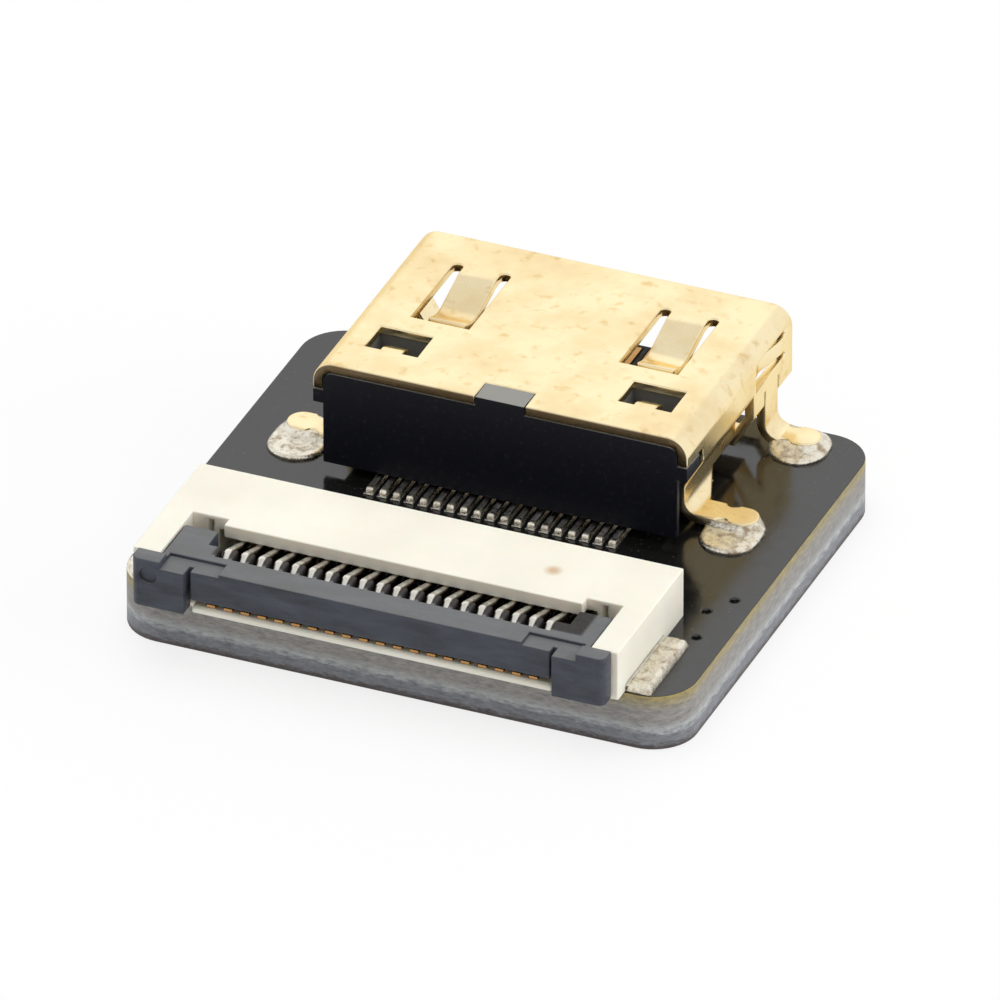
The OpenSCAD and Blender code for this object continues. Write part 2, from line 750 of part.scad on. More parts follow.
module ribbon_housing() {
    half = housing_w / 2;
    slit = ribbon_contact_w / 2 + fit;
    color("#f1efe6") at_ribbon() difference() {
        union() {
            box([-half, notch_rear, board_top], [half, housing_rear, housing_top]);
            across_x(0, 2 * wall_in) polygon([
                [lip_front, board_top], [housing_rear, board_top], [housing_rear, floor_top],
                [lip_front + lip_bevel, floor_top], [lip_front, floor_top - lip_bevel]
            ]);
            box([-wall_in, roof_front, roof_low], [wall_in, housing_rear, housing_top]);
            both_sides() {
                box([wall_in - lap, arm_front, board_top], [half, notch_rear + lap, floor_top]);
                box([arm_in, arm_front, board_top], [half, notch_rear + lap, housing_top]);
            }
        }
        box([-slot_w / 2 - side_room, roof_front - cut, floor_top], [slot_w / 2 + side_room, cavity_rear, roof_low]);
        for (i = [1:ribbon_ways]) {
            x = place(i, ribbon_ways, ribbon_pitch);
            box([x - slit, cavity_rear - lap, board_top - cut], [x + slit, housing_rear + cut, roof_low]);
        }
        both_sides() {
            anchor_room(fit);
            catch_groove();
            box([(wall_in + arm_in - nick_w) / 2, notch_rear - cut, board_top + bar_bottom],
                [(wall_in + arm_in + nick_w) / 2, notch_rear + nick_len, housing_top - nick_drop]);
        }
    }
}

// Plan of the right ear
module ear_plan() {
    ear_out = ear_in + ear_w;
    translate([ear_in, ear_front]) square([ear_w - ear_r, ear_rear - ear_front]);
    translate([ear_in, ear_front + ear_r]) square([ear_w, ear_rear - ear_front - ear_r]);
    translate([ear_out - ear_r, ear_front + ear_r]) circle(ear_r);
}

module ribbon_slider() {
    arm_out = arm_in - run;
    arm_from = wall_in + run;
    comb = ribbon_contact_w / 2 + run;
    mark_z = board_top + ear_top - mark_d;
    color("#3f4247") at_ribbon() difference() {
        union() {
            box([-ear_in - lap, bar_front, board_top + bar_bottom], [ear_in + lap, bar_rear, board_top + bar_top]);
            across_x(0, slot_w - 2 * run) polygon([
                [bar_rear - lap, wedge_low], [bar_rear + wedge_len, wedge_low + wedge_taper],
                [bar_rear + wedge_len, wedge_low + wedge_t], [bar_rear - lap, wedge_low + wedge_t]
            ]);
            both_sides() {
                translate([0, 0, board_top + run]) linear_extrude(ear_top - run) ear_plan();
                box([arm_from, bar_front + ear_proud, board_top + bar_bottom],
                    [arm_out, slider_arm_end, board_top + bar_top]);
                box([arm_out - lap, slider_arm_end - catch_len, board_top + bar_bottom],
                    [arm_in + catch_out - run, slider_arm_end, board_top + bar_top - 2 * recess_t]);
            }
        }
        for (i = [1:ribbon_ways]) {
            x = place(i, ribbon_ways, ribbon_pitch);
            box([x - comb, comb_end, upper_low - run], [x + comb, bar_rear + cut, board_top + bar_top + cut]);
        }
        both_sides() {
            box([ear_in + recess_in - recess_len, bar_front - cut, board_top + bar_top - recess_t],
                [ear_in + recess_in, bar_front + recess_d, board_top + bar_top + cut]);
            box([ear_in - groove_w, bar_front - cut, board_top + bar_bottom - cut],
                [ear_in, bar_front + groove_d, board_top + bar_top + cut]);
        }
        translate([mark_d - ear_in - ear_w, ear_front + recess_t, mark_z])
            rotate([90, 0, 0]) cylinder(d = mark_d, h = recess_t + cut);
    }
}

module ribbon_contact(i) {
    base_rear = housing_rear - fit;
    base_front = cavity_rear - 2 * lap;
    upper_tip = comb_end + run;
    tail_end = housing_rear + ribbon_tail_out;
    hump = [bar_rear, board_top + bar_top - hump_drop];
    upper = [
        [base_rear, upper_top], [roof_front, upper_top], hump,
        [upper_tip, upper_top], [upper_tip, upper_low], [base_front, upper_low]
    ];
    profile = concat(
        [[tail_end, pad_top], [tail_end, pad_top + ribbon_tail_h], [base_rear, pad_top + ribbon_tail_h]],
        rounded(upper, [upper_arm_h, upper_arm_h, upper_arm_h / 2, upper_arm_h / 4]),
        [[base_front, lower_top], [lower_tip + bump_len, lower_top], [lower_tip + bump_len / 2, lower_top + bump_h]],
        [[lower_tip, lower_top - bump_h], [lower_tip, lower_low], [base_front, lower_low], [base_front, pad_top]]
    );
    color("#d8d6c8") at_ribbon() across_x(place(i, ribbon_ways, ribbon_pitch), ribbon_contact_w)
        polygon(profile);
}

module ribbon_pads() {
    half = ribbon_contact_w / 2 + pad_edge;
    color("#cfd1cd") at_ribbon() for (i = [1:ribbon_ways]) {
        x = place(i, ribbon_ways, ribbon_pitch);
        box([x - half, housing_rear + fit, board_top],
            [x + half, housing_rear + ribbon_tail_out + pad_toe, pad_top]);
    }
}

board();
socket_shell();
socket_insulator();
socket_pads();
for (f = FEET) foot_solder(f);
for (i = [1:socket_ways]) socket_contact(i);
ribbon_housing();
ribbon_slider();
ribbon_pads();
ribbon_anchor(1);  // ribbon_anchor_left
ribbon_anchor(0);  // ribbon_anchor_right
anchor_solder();
for (i = [1:ribbon_ways]) ribbon_contact(i);
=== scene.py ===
"""Looks of an adapter board that carries a mini video socket and a ribbon-cable connector."""

import math

import bmesh
import bpy
import numpy as np
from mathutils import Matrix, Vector


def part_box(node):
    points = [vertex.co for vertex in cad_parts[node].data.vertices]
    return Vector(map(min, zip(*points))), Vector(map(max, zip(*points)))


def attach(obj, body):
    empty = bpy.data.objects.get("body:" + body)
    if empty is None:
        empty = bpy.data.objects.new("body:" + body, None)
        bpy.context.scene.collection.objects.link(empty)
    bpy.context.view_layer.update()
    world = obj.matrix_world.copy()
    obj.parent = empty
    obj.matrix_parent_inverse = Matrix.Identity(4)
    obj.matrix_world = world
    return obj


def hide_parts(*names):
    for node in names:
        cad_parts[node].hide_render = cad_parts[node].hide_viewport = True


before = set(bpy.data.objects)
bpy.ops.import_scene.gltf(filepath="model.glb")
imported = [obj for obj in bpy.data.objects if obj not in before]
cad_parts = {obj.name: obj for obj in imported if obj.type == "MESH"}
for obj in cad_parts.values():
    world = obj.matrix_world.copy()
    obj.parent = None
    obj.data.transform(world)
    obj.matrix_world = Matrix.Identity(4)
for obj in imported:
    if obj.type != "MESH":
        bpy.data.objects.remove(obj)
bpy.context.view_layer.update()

bl_info = {
    "name": "Video socket adapter",
    "version": (1, 0, 0),
    "blender": (4, 5, 0),
    "location": "3D View > Sidebar > Adapter",
    "description": "Finishes the solids of a socket and ribbon adapter board",
    "category": "Object",
}

MM = 0.001
FIXED = "adapter"
SLIDING = "slider"
SOCKET_CONTACTS = sorted(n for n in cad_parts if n.startswith("socket_contact_"))
RIBBON_CONTACTS = sorted(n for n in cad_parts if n.startswith("ribbon_contact_"))
FEET = ("rear_left", "rear_right", "front_left", "front_right")
# Edges that turn less than this belong to a curved face
SMOOTH_TURN = math.radians(25)
# Edges that turn more than this after rounding stay sharp
SHARP_TURN = math.radians(70)
# Faces that turn less than this are one flat face
FLAT_TURN = math.radians(0.3)
# Points of a solid, in millimetres, and of a new surface, in metres, that are nearer than this are one
SOLID_SEAM = 0.0005
SURFACE_SEAM = 1e-7
# Plated holes, from the board's right and front edges
HOLES = np.array([(1.13, 4.72), (0.88, 3.37), (0.63, 5.52)]) * MM
# Gate mark on the housing's top, along X and Y
GATE = (3.51 * MM, -4.47 * MM)
# Places along a tail where its solder has a row of points, as shares of its length
TAIL_ROWS = np.array([0, 0.03, 0.08, 0.15, 0.22, 0.3, 0.45, 0.6, 0.8, 1])
# Light of the room on the object, and the dim ceiling that metal mirrors: its direction, the cosines
# at its edge and where it is full, and how much it takes away
ROOM_LIGHT = 0.5
CEILING = (-0.3, -0.1, 0.949)
CEILING_EDGE, CEILING_FULL = 0.72, 0.95
CEILING_DIM = 0.22
# Lamps: name, place and size in metres, power in watts, and whether metal mirrors them
SOFTBOXES = (
    ("top_softbox", (-0.06, 0.04, 0.44), 0.4, 1.1, False),
    ("right_softbox", (0.45, 0.08, 0.2), 0.35, 1.05, False),
    ("back_softbox", (-0.163, 0.392, 0.263), 0.35, 0.06, True))
# Floor: half its width in metres, and its drop below the board so that the two don't flicker
FLOOR_HALF = 0.6
FLOOR_DROP = 0.02 * MM
# Camera: its turn to the right, its lift, the point that it looks at, its distance, and its
# lens and sensor in millimetres
CAMERA_TURN = math.radians(22.57)
CAMERA_LIFT = math.radians(31.74)
CAMERA_AIM = Vector((0.079, 0, 2.085)) * MM
CAMERA_AWAY = 698 * MM
CAMERA_LENS = 916.5
CAMERA_SENSOR = 36


def linear(code):
    """Linear colour of an sRGB hex value.

    A dark channel c is c / 12.92, and another is (c + 0.055) / 1.055 to the power of 2.4.
    """
    channels = [int(code[i:i + 2], 16) / 255 for i in (1, 3, 5)]
    return [c / 12.92 if c <= 0.04045 else ((c + 0.055) / 1.055) ** 2.4 for c in channels]


def length(name, description, default):
    """A size in millimetres as a length property."""
    return bpy.props.FloatProperty(
        name=name, description=description, default=default * MM, min=0, unit="LENGTH", precision=5)


def colour(name, description, code):
    """An sRGB hex colour as a colour property."""
    return bpy.props.FloatVectorProperty(
        name=name, description=description, default=linear(code), min=0, max=1, subtype="COLOR")


class AdapterSizes(bpy.types.PropertyGroup):
    """Sizes that the finish adds to the solids."""

    sheet_edge: length("Sheet edge", "Rounding of the shell's sheared edges", 0.05)
    mould_edge: length("Mould edge", "Rounding of the mouldings' outer edges", 0.04)
    strip_edge: length("Strip edge", "Rounding of the stamped contacts' edges", 0.035)
    crest_edge: length("Crest edge", "Rounding of the ribbon contacts' upper arms", 0.115)
    board_edge: length("Board edge", "Rounding of the routed board's edges", 0.03)
    board_corner: length("Board corner", "Radius of the board's corners", 1.3)
    leg_width: length("Leg width", "Width of the shell's legs and feet", 0.92)
    rear_leg: length("Rear leg", "Middle of the rear legs along Y", 1.81)
    front_leg: length("Front leg", "Middle of the front legs along Y", 6.34)
    wet_height: length("Wetting height", "How far solder climbs a foot", 0.34)
    wet_reach: length("Wetting reach", "How far solder runs out past a foot's tip", 0.2)
    pool_depth: length("Pool depth", "Height of the solder away from a foot", 0.13)
    pool_rim: length("Pool rim", "Width of the rolled rim of the solder", 0.16)
    tail_height: length("Tail height", "Height of the contacts' tails", 0.14)
    tail_toe: length("Tail toe", "Length of the solder past a tail's tip", 0.11)
    tail_margin: length("Tail margin", "Width of the solder beside a tail", 0.012)
    tail_cover: length("Tail cover", "How far the tails' solder runs in under the insulator", 0.3)
    tail_gap: length("Tail gap", "From the ribbon housing to the solder on its tails", 0.02)
    slot_height: length("Slot height", "Top of the anchors' slots above the housing's base", 0.25)
    anchor_rise: length("Anchor rise", "Height of the solder over the anchors' feet", 0.225)
    anchor_margin: length("Anchor margin", "Width of the solder beside the anchors' feet", 0.05)
    crest_height: length("Crest height", "From the housing's base to the ribbon contacts' upper arms", 0.8)
    comb_start: length("Comb start", "From the slider's front to its comb", 1.08)
    comb_half: length("Comb half", "Half the width of the slider's comb", 5.4)
    bore_radius: length("Bore radius", "Radius of the plated holes", 0.15)
    bore_plating: length("Bore plating", "Thickness of the plating in the holes", 0.025)


class AdapterColours(bpy.types.PropertyGroup):
    """Colours of the finishes."""

    gold: colour("Gold", "Flash gold on the shell", "#fbebc3")
    tarnish: colour("Tarnish", "Handled patches of the gold", "#d2ab62")
    mask: colour("Mask", "Black solder mask", "#141413")
    laminate: colour("Laminate", "Routed glass laminate", "#8d8a86")
    laminate_pale: colour("Pale laminate", "Pale glass layer of the routed laminate", "#a9acad")
    laminate_low: colour("Low laminate", "Lower layers of the routed laminate", "#7b7d83")
    # Laminate foot: a dark line along the bottom of the routed edge
    laminate_foot: colour("Laminate foot", "Burnt line along the bottom of the laminate", "#463b3a")
    resin: colour("Resin", "Resin line under the mask", "#9a8a52")
    black_moulding: colour("Black moulding", "Insulator", "#090b17")
    # Painted light: pale grey mixed into the mouldings' upward faces and the insulator's shaded pockets
    painted_top_light: colour("Bloom", "Pale skin on upward faces of the mouldings", "#9b9a94")
    white_moulding: colour("White moulding", "Ribbon housing", "#f6f1e2")
    gate: colour("Gate mark", "Gate mark on the housing", "#c79a62")
    slate_moulding: colour("Slate moulding", "Ribbon slider", "#43474f")
    # Painted shade: the comb's colour darkens the slider under the housing's roof between the contacts
    comb: colour("Comb", "Slider's comb, stained between the contacts", "#1d1714")
    tin: colour("Tin", "Tinned strip", "#eeebe2")
    contact_gold: colour("Contact gold", "Gold on the socket contacts' touching ends", "#c9974c")
    spring_gold: colour("Spring gold", "Gold on the ribbon contacts' touching ends", "#bb8d58")
    # Bronze: bare cut edges, and painted shade on the ribbon contacts' plated sides
    bronze: colour("Bronze", "Bare sides of the stamped contacts", "#4c3a2a")
    solder: colour("Solder", "Solder joints", "#ebe5d6")
    flux: colour("Flux", "Flux left on the joints", "#8d7450")
    floor: colour("Floor", "Floor", "#f4f4f4")


# Surfaces


def add_piece(name, mesh, finishes, body=FIXED, replaced=()):
    """Links a mesh as a piece that rides on a body, with its finishes and the solids it stands for."""
    for finish in finishes:
        mesh.materials.append(finish)
    piece = bpy.data.objects.new(name, mesh)
    bpy.context.scene.collection.objects.link(piece)
    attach(piece, body)
    if replaced:
        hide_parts(*replaced)
    return piece


def within(edge, box):
    """Whether an edge, in millimetres, lies in a box given by its low and high corners in metres."""
    return all(box[0][i] <= v.co[i] * MM <= box[1][i] for v in edge.verts for i in range(3))


def eased(node, width, steps=2, crest=None, kept=()):
    """Mesh of a solid with its outer edges rounded.

    The solid is merged and its flat faces are joined. Each outer edge that turns by more than
    SMOOTH_TURN becomes a strip of the given width in steps, and each such inner edge stays sharp.
    A crest is a height and a width: the edges above that height, but for those across X, get that width.
    Edges within one of the kept boxes stay sharp too.
    """
    work = bmesh.new()
    work.from_mesh(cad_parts[node].data)
    bmesh.ops.scale(work, vec=[1 / MM] * 3, verts=work.verts)
    bmesh.ops.remove_doubles(work, verts=work.verts, dist=SOLID_SEAM)
    bmesh.ops.dissolve_limit(work, angle_limit=FLAT_TURN, verts=work.verts, edges=work.edges)
    turned = [e for e in work.edges if e.is_manifold and e.calc_face_angle() > SMOOTH_TURN]
    outer = [e for e in turned if e.is_convex and not any(within(e, box) for box in kept)]
    for edge in turned:
        edge.smooth = False
    for edge in outer:
        edge.smooth = True
    for face in work.faces:
        face.smooth = True
    level = crest[0] / MM if crest else math.inf
    high = [
        e for e in outer
        if all(v.co.z > level for v in e.verts) and abs(e.verts[0].co.x - e.verts[1].co.x) < 2 * SOLID_SEAM]
    low = [e for e in outer if e not in high]
    for edges, size, count in ((high, crest[1] if crest else 0, 2 * steps), (low, width, steps)):
        bmesh.ops.bevel(
            work, geom=[e for e in edges if e.is_valid], offset=size / MM, offset_type="OFFSET",
            segments=count, profile=0.5, affect="EDGES", clamp_overlap=False)
    work.normal_update()
    for edge in work.edges:
        if edge.is_manifold and edge.calc_face_angle() > SHARP_TURN:
            edge.smooth = False
    bmesh.ops.scale(work, vec=[MM] * 3, verts=work.verts)
    mesh = bpy.data.meshes.new(node)
    work.to_mesh(mesh)
    work.free()
    return mesh


def dress(node, width, finish, body=FIXED, steps=2, crest=None, kept=()):
    """Puts a rounded copy in a solid's place, with normals that follow its larger faces."""
    mesh = eased(node, width, steps, crest, kept)
    piece = add_piece("finished_" + node, mesh, [finish], body, [node])
    weighted = piece.modifiers.new("Flat faces", "WEIGHTED_NORMAL")
    weighted.keep_sharp = True
    return piece


def grid_mesh(name, sheets, around=False):
    """Mesh of one or more point grids of shape (rows, columns, 3), in metres.

    Each grid's neighbouring rows and columns are joined by quads, and with around the last column
    joins the first.
    """
    points, quads, start = [], [], 0
    for sheet in sheets:
        rows, columns = sheet.shape[:2]
        index = start + np.arange(rows * columns).reshape(rows, columns)
        right = np.roll(index, -1, axis=1) if around else index[:, 1:]
        here = index if around else index[:, :-1]
        quads.append(np.stack([here[:-1], right[:-1], right[1:], here[1:]], axis=-1).reshape(-1, 4))
        points.append(sheet.reshape(-1, 3))
        start += rows * columns
    mesh = bpy.data.meshes.new(name)
    mesh.from_pydata(np.concatenate(points), [], np.concatenate(quads).tolist())
    work = bmesh.new()
    work.from_mesh(mesh)
    bmesh.ops.remove_doubles(work, verts=work.verts, dist=SURFACE_SEAM)
    bmesh.ops.recalc_face_normals(work, faces=work.faces)
    for face in work.faces:
        face.smooth = True
    work.to_mesh(mesh)
    work.free()
    return mesh


def capsule_distance(x, y, start, end, radius):
    """Distance of points from a capsule: the distance to the line from start to end, less the radius."""
    along = np.subtract(end, start)
    share = np.clip(((x - start[0]) * along[0] + (y - start[1]) * along[1]) / max(along @ along, 1e-12), 0, 1)
    return np.hypot(x - start[0] - share * along[0], y - start[1] - share * along[1]) - radius


def block_distance(x, y, low, high, radius=0.0):
    """Distance of points from a rectangle with rounded corners, negative inside."""
    over_x = np.abs(x - (low[0] + high[0]) / 2) - (high[0] - low[0]) / 2 + radius
    over_y = np.abs(y - (low[1] + high[1]) / 2) - (high[1] - low[1]) / 2 + radius
    outside = np.hypot(np.maximum(over_x, 0), np.maximum(over_y, 0))
    return outside + np.minimum(np.maximum(over_x, over_y), 0) - radius


def rolled(distance, width):
    """Height of a rolled rim: a quarter circle that rises from 0 to 1 over a width from the edge."""
    share = np.clip(distance / width, 0, 1)
    return np.sqrt(share * (2 - share))


def foot_pool(low, high, foot_from, foot_to, foot_half, sizes, phase):
    """Solder round a foot, as a closed sheet over rays and rings of an oblong pad.

    Ring s of ray a lies at s times the pad's outline, a half circle at each end of a straight. The
    upper sheet is a flat pool with a rolled rim that climbs steeply at the foot, with slow swells.
    """
    rays = np.linspace(0, 2 * np.pi, 96, endpoint=False)
    ring, ray = np.meshgrid(np.linspace(0, 1, 22), rays, indexing="ij")
    half = (high[0] - low[0]) / 2
    middle = (np.array(low[:2]) + high[:2]) / 2
    straight = (high[1] - low[1]) / 2 - half
    x = middle[0] + ring * half * np.cos(ray)
    y = middle[1] + ring * (half * np.sin(ray) + straight * np.clip(3 * np.sin(ray), -1, 1))
    edge = -capsule_distance(x, y, (middle[0], middle[1] - straight), (middle[0], middle[1] + straight), half)
    metal = capsule_distance(x, y, foot_from, foot_to, foot_half)
    wave_x, wave_y = 0.21 * MM, 0.26 * MM
    swell = 1 + 0.14 * np.sin(x / wave_x + phase) * np.cos(y / wave_y + 2 * phase)
    climb = np.exp(-np.maximum(metal, 0) / (0.55 * sizes.pool_rim))
    level = sizes.pool_depth * swell + (sizes.wet_height - sizes.pool_depth * swell) * climb
    top = low[2] + level * rolled(edge, sizes.pool_rim)
    top[-1] = low[2]
    upper = np.stack([x, y, top], axis=-1)
    lower = np.stack([x, y, np.full_like(x, low[2])], axis=-1)[::-1]
    return np.concatenate([upper, lower[1:]])


def tail_solder(low, high, sizes, toe):
    """Solder on a tail: an arch with full shoulders, carried along the tail from past its tip.

    The arch is a curve of the fourth power, as wide as the tail and its margin. Past the tip it
    shrinks to a rounded toe, and away from the tip it sinks below the tail's top.
    """
    turn, along = np.meshgrid(np.linspace(-np.pi / 2, np.pi / 2, 11), TAIL_ROWS)
    near, far = (low[1] - toe, high[1]) if toe > 0 else (high[1] - toe, low[1])
    y = near + (far - near) * along
    end = rolled(np.abs(y - near), abs(toe))
    away = np.clip(np.abs(y - near) / (4 * abs(toe)), 0, 1)
    half = ((high[0] - low[0]) / 2 + sizes.tail_margin) * (0.6 + 0.4 * end)
    rise = sizes.tail_height * (1.16 - 0.6 * away ** 2) * end
    x = (low[0] + high[0]) / 2 + half * np.sign(turn) * np.sqrt(np.abs(np.sin(turn)))
    return np.stack([x, y, low[2] + rise * np.sqrt(np.maximum(np.cos(turn), 0))], axis=-1)


def anchor_blanket(low, high, board_low, board_high, corner, rise, phase):
    """Solder over an anchor's foot, as a sheet over its pad that falls to the board at the pad's edge.

    Its height is a rounded step of the distance from the pad's and the board's outline, with slow
    swells along the foot.
    """
    pad_corner, rim = 0.1 * MM, 0.12 * MM
    across, along = np.meshgrid(np.linspace(0, 1, 17), np.linspace(0, 1, 41))
    y = low[1] + (high[1] - low[1]) * along
    round_y = np.clip(board_low[1] + corner - y, 0, corner)
    reach = board_high[0] - corner + np.sqrt(corner ** 2 - round_y ** 2)
    left, right = np.maximum(low[0], -reach), np.minimum(high[0], reach)
    x = left + (right - left) * across
    pad = block_distance(x, y, low, high, pad_corner)
    board = block_distance(x, y, board_low, board_high, corner)
    edge = np.maximum(-np.maximum(pad, board), 0)
    swell = 1 + 0.05 * np.sin(11 * along + 2 * across + phase)
    swell += 0.04 * np.cos(5 * across + 3 * along + phase)
    return np.stack([x, y, low[2] + rise * rolled(edge, rim) * swell], axis=-1)


def plated_hole(middle, bore, plating, low, high):
    """Barrel of plating in a hole: a profile with rounded ends, carried about the hole's axis."""
    inner = bore - plating
    lip, bend = bore - plating * 0.3, plating * 0.7
    profile = np.array([
        (bore, high), (lip, high), (inner, high - bend), (inner, low + bend), (lip, low), (bore, low),
        (bore, high)])
    turn = np.linspace(0, 2 * np.pi, 40, endpoint=False)
    x = middle[0] + profile[:, :1] * np.cos(turn)
    y = middle[1] + profile[:, :1] * np.sin(turn)
    return np.stack([x, y, np.broadcast_to(profile[:, 1:], x.shape)], axis=-1)


# Finishes


def put(tree, kind, inputs=None, **settings):
    """Adds a node of a kind with its settings, and feeds its inputs from values or other nodes' outputs."""
    node = tree.nodes.new(kind)
    for key, value in settings.items():
        setattr(node, key, value)
    for key, value in (inputs or {}).items():
        if isinstance(value, bpy.types.NodeSocket):
            tree.links.new(value, node.inputs[key])
        else:
            node.inputs[key].default_value = value
    return node


def start_finish(name, roughness, metallic=0.0):
    """A new material with its node tree, its shader and the piece's own coordinates."""
    finish = bpy.data.materials.new(name)
    finish.use_nodes = True
    tree = finish.node_tree
    shader = tree.nodes["Principled BSDF"]
    shader.inputs["Roughness"].default_value = roughness
    shader.inputs["Metallic"].default_value = metallic
    place = put(tree, "ShaderNodeTexCoord").outputs["Object"]
    return finish, tree, shader, place


def feed(tree, shader, tint, blur, relief):
    """Links a finish's colour, roughness and relief to its shader."""
    for name, output in (("Base Color", tint), ("Roughness", blur), ("Normal", relief)):
        tree.links.new(output, shader.inputs[name])


def per_mm(size):
    """Scale of a texture whose features are so many millimetres wide."""
    return 1 / (size * MM)


def rgba(value):
    """A colour property as a socket value."""
    return (*value, 1)


def gold_plated_sheet(colours, rear):
    # Phosphor bronze sheet, stamped, folded and flash-gold plated: a soft mirror with cloudy handling
    # marks, small brown specks, a rolled grain that only blurs the reflection, and bare brown bronze
    # where the sheet was sheared along its rear edge
    finish, tree, shader, place = start_finish("gold_plated_sheet", 0.27, 1.0)
    shader.inputs["Specular Tint"].default_value = rgba(colours.gold)
    cloud = put(tree, "ShaderNodeTexNoise", {
        "Vector": place, "Scale": per_mm(2.2), "Detail": 6.0, "Roughness": 0.6})
    patch = put(tree, "ShaderNodeMapRange", {
        "Value": cloud.outputs["Fac"], "From Min": 0.42, "From Max": 0.8, "To Min": 0.0, "To Max": 0.5})
    grit = put(tree, "ShaderNodeTexNoise", {"Vector": place, "Scale": per_mm(0.4), "Detail": 3.0})
    specks = put(tree, "ShaderNodeMapRange", {
        "Value": grit.outputs["Fac"], "From Min": 0.58, "From Max": 0.78, "To Min": 0.0, "To Max": 0.5})
    marks = put(tree, "ShaderNodeMath", {
        0: patch.outputs[0], 1: specks.outputs[0]}, operation="ADD", use_clamp=True)
    plate = put(tree, "ShaderNodeMix", {
        0: marks.outputs[0], 6: rgba(colours.gold), 7: rgba(colours.tarnish)}, data_type="RGBA")
    facing = put(tree, "ShaderNodeSeparateXYZ", {0: put(tree, "ShaderNodeTexCoord").outputs["Normal"]})
    behind = put(tree, "ShaderNodeMapRange", {
        "Value": facing.outputs["Y"], "From Min": -0.95, "From Max": -0.6, "To Min": 0.9, "To Max": 0.0})
    along = put(tree, "ShaderNodeSeparateXYZ", {0: place})
    at_rear = put(tree, "ShaderNodeMapRange", {
        "Value": along.outputs["Y"], "From Min": rear + 0.1 * MM, "From Max": rear + 0.14 * MM,
        "To Min": 1.0, "To Max": 0.0})
    sheared = put(tree, "ShaderNodeMath", {0: behind.outputs[0], 1: at_rear.outputs[0]}, operation="MULTIPLY")
    tint = put(tree, "ShaderNodeMix", {
        0: sheared.outputs[0], 6: plate.outputs[2], 7: rgba(colours.bronze)}, data_type="RGBA")
    blur = put(tree, "ShaderNodeMapRange", {
        "Value": cloud.outputs["Fac"], "From Min": 0.3, "From Max": 0.75, "To Min": 0.2, "To Max": 0.36})
    grain = put(tree, "ShaderNodeTexNoise", {"Vector": place, "Scale": per_mm(0.16), "Detail": 2.0})
    relief = put(tree, "ShaderNodeBump", {
        "Height": grain.outputs["Fac"], "Strength": 0.22, "Distance": 0.012 * MM})
    feed(tree, shader, tint.outputs[2], blur.outputs[0], relief.outputs[0])
    return finish


def upward(tree, low, high, share):
    """Output that rises to a share where a face looks up, between two values of its normal's Z."""
    facing = put(tree, "ShaderNodeSeparateXYZ", {0: put(tree, "ShaderNodeTexCoord").outputs["Normal"]})
    rising = put(tree, "ShaderNodeMapRange", {
        "Value": facing.outputs["Z"], "From Min": low, "From Max": high, "To Min": 0.0, "To Max": share})
    return rising.outputs[0]


def black_lcp(colours, rear, top):
    # Liquid crystal polymer, glass filled and moulded: blue-black and satin with fibre flecks, and painted
    # light in its top 0.9 mm, under the shell: pale grey on faces off the rear, more where they look up
    finish, tree, shader, place = start_finish("black_lcp", 0.5)
    shader.inputs["IOR"].default_value = 1.6
    shader.inputs["Specular IOR Level"].default_value = 0.2
    fibre = put(tree, "ShaderNodeTexNoise", {"Vector": place, "Scale": per_mm(0.14), "Detail": 3.0})
    fleck = put(tree, "ShaderNodeMapRange", {
        "Value": fibre.outputs["Fac"], "From Min": 0.58, "From Max": 0.8, "To Min": 0.0, "To Max": 0.1})
    body = put(tree, "ShaderNodeMix", {
        0: fleck.outputs[0], 6: rgba(colours.black_moulding), 7: rgba(colours.laminate_low)},
        data_type="RGBA")
    height = put(tree, "ShaderNodeSeparateXYZ", {0: place})
    # Painted light in the shaded pockets under the shell: pale grey near the top, more on upward faces
    near_top = put(tree, "ShaderNodeMapRange", {
        "Value": height.outputs["Z"], "From Min": top - 0.9 * MM, "From Max": top - 0.85 * MM})
    painted_pocket_light = put(tree, "ShaderNodeMapRange", {
        "Value": height.outputs["Y"], "From Min": rear + 0.3 * MM, "From Max": rear + 0.35 * MM,
        "To Min": 0.0, "To Max": 0.5})
    pale = put(tree, "ShaderNodeMath", {
        0: painted_pocket_light.outputs[0], 1: upward(tree, 0.6, 0.95, 0.85)}, operation="MAXIMUM")
    skin = put(tree, "ShaderNodeMath", {0: near_top.outputs[0], 1: pale.outputs[0]}, operation="MULTIPLY")
    tint = put(tree, "ShaderNodeMix", {
        0: skin.outputs[0], 6: body.outputs[2], 7: rgba(colours.painted_top_light)}, data_type="RGBA")
    blur = put(tree, "ShaderNodeMapRange", {
        "Value": fibre.outputs["Fac"], "From Min": 0.3, "From Max": 0.7, "To Min": 0.38, "To Max": 0.55})
    relief = put(tree, "ShaderNodeBump", {
        "Height": fibre.outputs["Fac"], "Strength": 0.25, "Distance": 0.01 * MM})
    feed(tree, shader, tint.outputs[2], blur.outputs[0], relief.outputs[0])
    return finish


